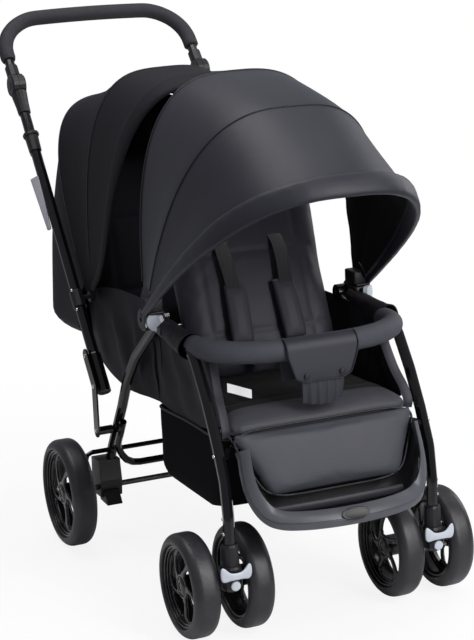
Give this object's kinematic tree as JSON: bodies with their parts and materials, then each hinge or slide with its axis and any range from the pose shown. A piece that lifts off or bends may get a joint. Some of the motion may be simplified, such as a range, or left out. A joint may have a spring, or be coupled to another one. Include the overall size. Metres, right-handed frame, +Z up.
{
  "type": "tandem double stroller",
  "caption": "Tandem stroller: padded seats in line on a folding black tube frame, each under a canopy, with swivel front casters, basket, footrest and tilting handle.",
  "frame": {"origin": "on the ground under the middle of the stroller", "axes": "+Z up; the stroller faces -Y; the child's left is +X"},
  "size_m": [0.5276, 1.0961, 0.9079],
  "materials": {
    "frame_black": "gloss black powder coat",
    "plastic_black": "fine grain",
    "gloss_black": "moulded, polished",
    "trim_grey": "silver grey",
    "tyre_rubber": "smooth black",
    "grip_foam": "soft closed-cell foam",
    "canopy_cloth": "woven polyester with a slight sheen",
    "seat_cloth": "woven polyester",
    "black_cloth": "black woven polyester",
    "tray_plastic": "dark grey, fine grain",
    "axle_steel": "blackened steel"
  },
  "bodies": {
    "front_frame": {"front_leg_left": "frame_black", "front_leg_right": "frame_black", "side_hub_left": "plastic_black", "side_hub_right": "plastic_black", "caster_collar_left": "plastic_black", "caster_collar_right": "plastic_black", "seat_frame": "frame_black", "bumper_bar": "grip_foam", "crotch_flap": "seat_cloth", "footrest_tray": "tray_plastic", "front_seat": "seat_cloth", "rear_seat": "seat_cloth", "basket": "black_cloth", "front_canopy_shade": "canopy_cloth"},
    "rear_frame": {"rear_leg_left": "frame_black", "rear_leg_right": "frame_black", "rear_bracket_left": "plastic_black", "rear_bracket_right": "plastic_black", "fold_plate_left": "frame_black", "fold_plate_right": "frame_black", "rear_cross_tube": "frame_black", "rear_axle": "axle_steel"},
    "push_frame": {"push_tube_left": "frame_black", "push_tube_right": "frame_black", "handle_socket_left": "plastic_black", "handle_socket_right": "plastic_black", "canopy_bracket_left": "plastic_black", "canopy_bracket_right": "plastic_black", "rear_canopy_shade": "black_cloth"},
    "handle": {"handle_tube": "frame_black", "handle_foam": "grip_foam", "handle_knob_left": "plastic_black", "handle_knob_right": "plastic_black"},
    "brake": {"brake_bar": "frame_black"},
    "front_back": {"front_backrest": "seat_cloth", "front_harness": "black_cloth"},
    "rear_back": {"rear_backrest": "black_cloth"},
    "calf": {"calf_rest": "seat_cloth"},
    "front_canopy": {"front_canopy_rim": "canopy_cloth"},
    "rear_canopy": {"rear_canopy_rim": "black_cloth"},
    "slider_left": {"fold_slider_left": "plastic_black"},
    "button_left": {"handle_button_left": "plastic_black"},
    "caster_left": {"caster_fork_left": "plastic_black"},
    "lock_left": {"swivel_lock_left": "trim_grey"},
    "front_wheel_left_outer": {"front_left_outer_rim": "gloss_black", "front_left_outer_tyre": "tyre_rubber"},
    "front_wheel_left_inner": {"front_left_inner_rim": "gloss_black", "front_left_inner_tyre": "tyre_rubber"},
    "rear_wheel_left": {"rear_left_rim": "gloss_black", "rear_left_tyre": "tyre_rubber"},
    "slider_right": {"fold_slider_right": "plastic_black"},
    "button_right": {"handle_button_right": "plastic_black"},
    "caster_right": {"caster_fork_right": "plastic_black"},
    "lock_right": {"swivel_lock_right": "trim_grey"},
    "front_wheel_right_outer": {"front_right_outer_rim": "gloss_black", "front_right_outer_tyre": "tyre_rubber"},
    "front_wheel_right_inner": {"front_right_inner_rim": "gloss_black", "front_right_inner_tyre": "tyre_rubber"},
    "rear_wheel_right": {"rear_right_rim": "gloss_black", "rear_right_tyre": "tyre_rubber"}
  },
  "joints": [
    {"name": "fold", "type": "hinge", "parent": "front_frame", "child": "rear_frame", "pos_m": [0, -0.1874, 0.458], "axis": [-1, 0, 0], "range_deg": [0, 40], "deforming": ["front_canopy_shade", "front_canopy_rim", "rear_canopy_shade", "rear_canopy_rim"]},
    {"name": "push_fold", "type": "hinge", "parent": "rear_frame", "child": "push_frame", "pos_m": [0, 0.0536, 0.292], "axis": [1, 0, 0], "range_deg": [0, 83]},
    {"name": "handle_tilt", "type": "hinge", "parent": "push_frame", "child": "handle", "pos_m": [0, 0.4356, 0.782], "axis": [1, 0, 0], "range_deg": [-50, 60]},
    {"name": "brake_press", "type": "hinge", "parent": "rear_frame", "child": "brake", "pos_m": [0, 0.1006, 0.095], "axis": [-1, 0, 0], "range_deg": [0, 20]},
    {"name": "front_recline", "type": "hinge", "parent": "front_frame", "child": "front_back", "pos_m": [0, -0.2294, 0.3433], "axis": [1, 0, 0], "range_deg": [-30, 0]},
    {"name": "rear_recline", "type": "hinge", "parent": "front_frame", "child": "rear_back", "pos_m": [0, 0.2133, 0.3404], "axis": [1, 0, 0], "range_deg": [-20, 0]},
    {"name": "calf_swing", "type": "hinge", "parent": "front_frame", "child": "calf", "pos_m": [0, -0.4358, 0.324], "axis": [-1, 0, 0], "range_deg": [0, 45]},
    {"name": "front_canopy_tilt", "type": "hinge", "parent": "front_frame", "child": "front_canopy", "pos_m": [0, -0.1874, 0.458], "axis": [1, 0, 0], "range_deg": [-50, 0], "deforming": ["front_canopy_shade"]},
    {"name": "rear_canopy_tilt", "type": "hinge", "parent": "push_frame", "child": "rear_canopy", "pos_m": [0, 0.1526, 0.43], "axis": [1, 0, 0], "range_deg": [-38, 0], "deforming": ["rear_canopy_shade"]},
    {"name": "slider_lift_left", "type": "slide", "parent": "push_frame", "child": "slider_left", "axis": [0, 0.6148, 0.7887], "range_m": [0, 0.02], "stiffness_N_per_m": 200, "springref_m": -0.01},
    {"name": "button_press_left", "type": "slide", "parent": "handle", "child": "button_left", "axis": [-1, 0, 0], "range_m": [0, 0.003], "stiffness_N_per_m": 400, "springref_m": -0.001},
    {"name": "caster_swivel_left", "type": "hinge", "parent": "front_frame", "child": "caster_left", "pos_m": [0.1755, -0.4574, 0.1], "axis": [0, 0, 1], "continuous": true},
    {"name": "swivel_lock_flip_left", "type": "hinge", "parent": "caster_left", "child": "lock_left", "pos_m": [0.1755, -0.4792, 0.1175], "axis": [1, 0, 0], "range_deg": [0, 20]},
    {"name": "front_spin_left_outer", "type": "hinge", "parent": "caster_left", "child": "front_wheel_left_outer", "pos_m": [0.2205, -0.3994, 0.0825], "axis": [1, 0, 0], "continuous": true},
    {"name": "front_spin_left_inner", "type": "hinge", "parent": "caster_left", "child": "front_wheel_left_inner", "pos_m": [0.1305, -0.3994, 0.0825], "axis": [1, 0, 0], "continuous": true},
    {"name": "rear_spin_left", "type": "hinge", "parent": "rear_frame", "child": "rear_wheel_left", "pos_m": [0.2425, 0.1006, 0.095], "axis": [1, 0, 0], "continuous": true},
    {"name": "slider_lift_right", "type": "slide", "parent": "push_frame", "child": "slider_right", "axis": [0, 0.6148, 0.7887], "range_m": [0, 0.02], "stiffness_N_per_m": 200, "springref_m": -0.01},
    {"name": "button_press_right", "type": "slide", "parent": "handle", "child": "button_right", "axis": [1, 0, 0], "range_m": [0, 0.003], "stiffness_N_per_m": 400, "springref_m": -0.001},
    {"name": "caster_swivel_right", "type": "hinge", "parent": "front_frame", "child": "caster_right", "pos_m": [-0.1755, -0.4574, 0.1], "axis": [0, 0, 1], "continuous": true},
    {"name": "swivel_lock_flip_right", "type": "hinge", "parent": "caster_right", "child": "lock_right", "pos_m": [-0.1755, -0.4792, 0.1175], "axis": [1, 0, 0], "range_deg": [0, 20]},
    {"name": "front_spin_right_outer", "type": "hinge", "parent": "caster_right", "child": "front_wheel_right_outer", "pos_m": [-0.2205, -0.3994, 0.0825], "axis": [1, 0, 0], "continuous": true},
    {"name": "front_spin_right_inner", "type": "hinge", "parent": "caster_right", "child": "front_wheel_right_inner", "pos_m": [-0.1305, -0.3994, 0.0825], "axis": [1, 0, 0], "continuous": true},
    {"name": "rear_spin_right", "type": "hinge", "parent": "rear_frame", "child": "rear_wheel_right", "pos_m": [-0.2425, 0.1006, 0.095], "axis": [1, 0, 0], "continuous": true}
  ],
  "couplings": [
    {"joint": "push_fold", "follows": "fold", "ratio": 2.075}
  ]
}
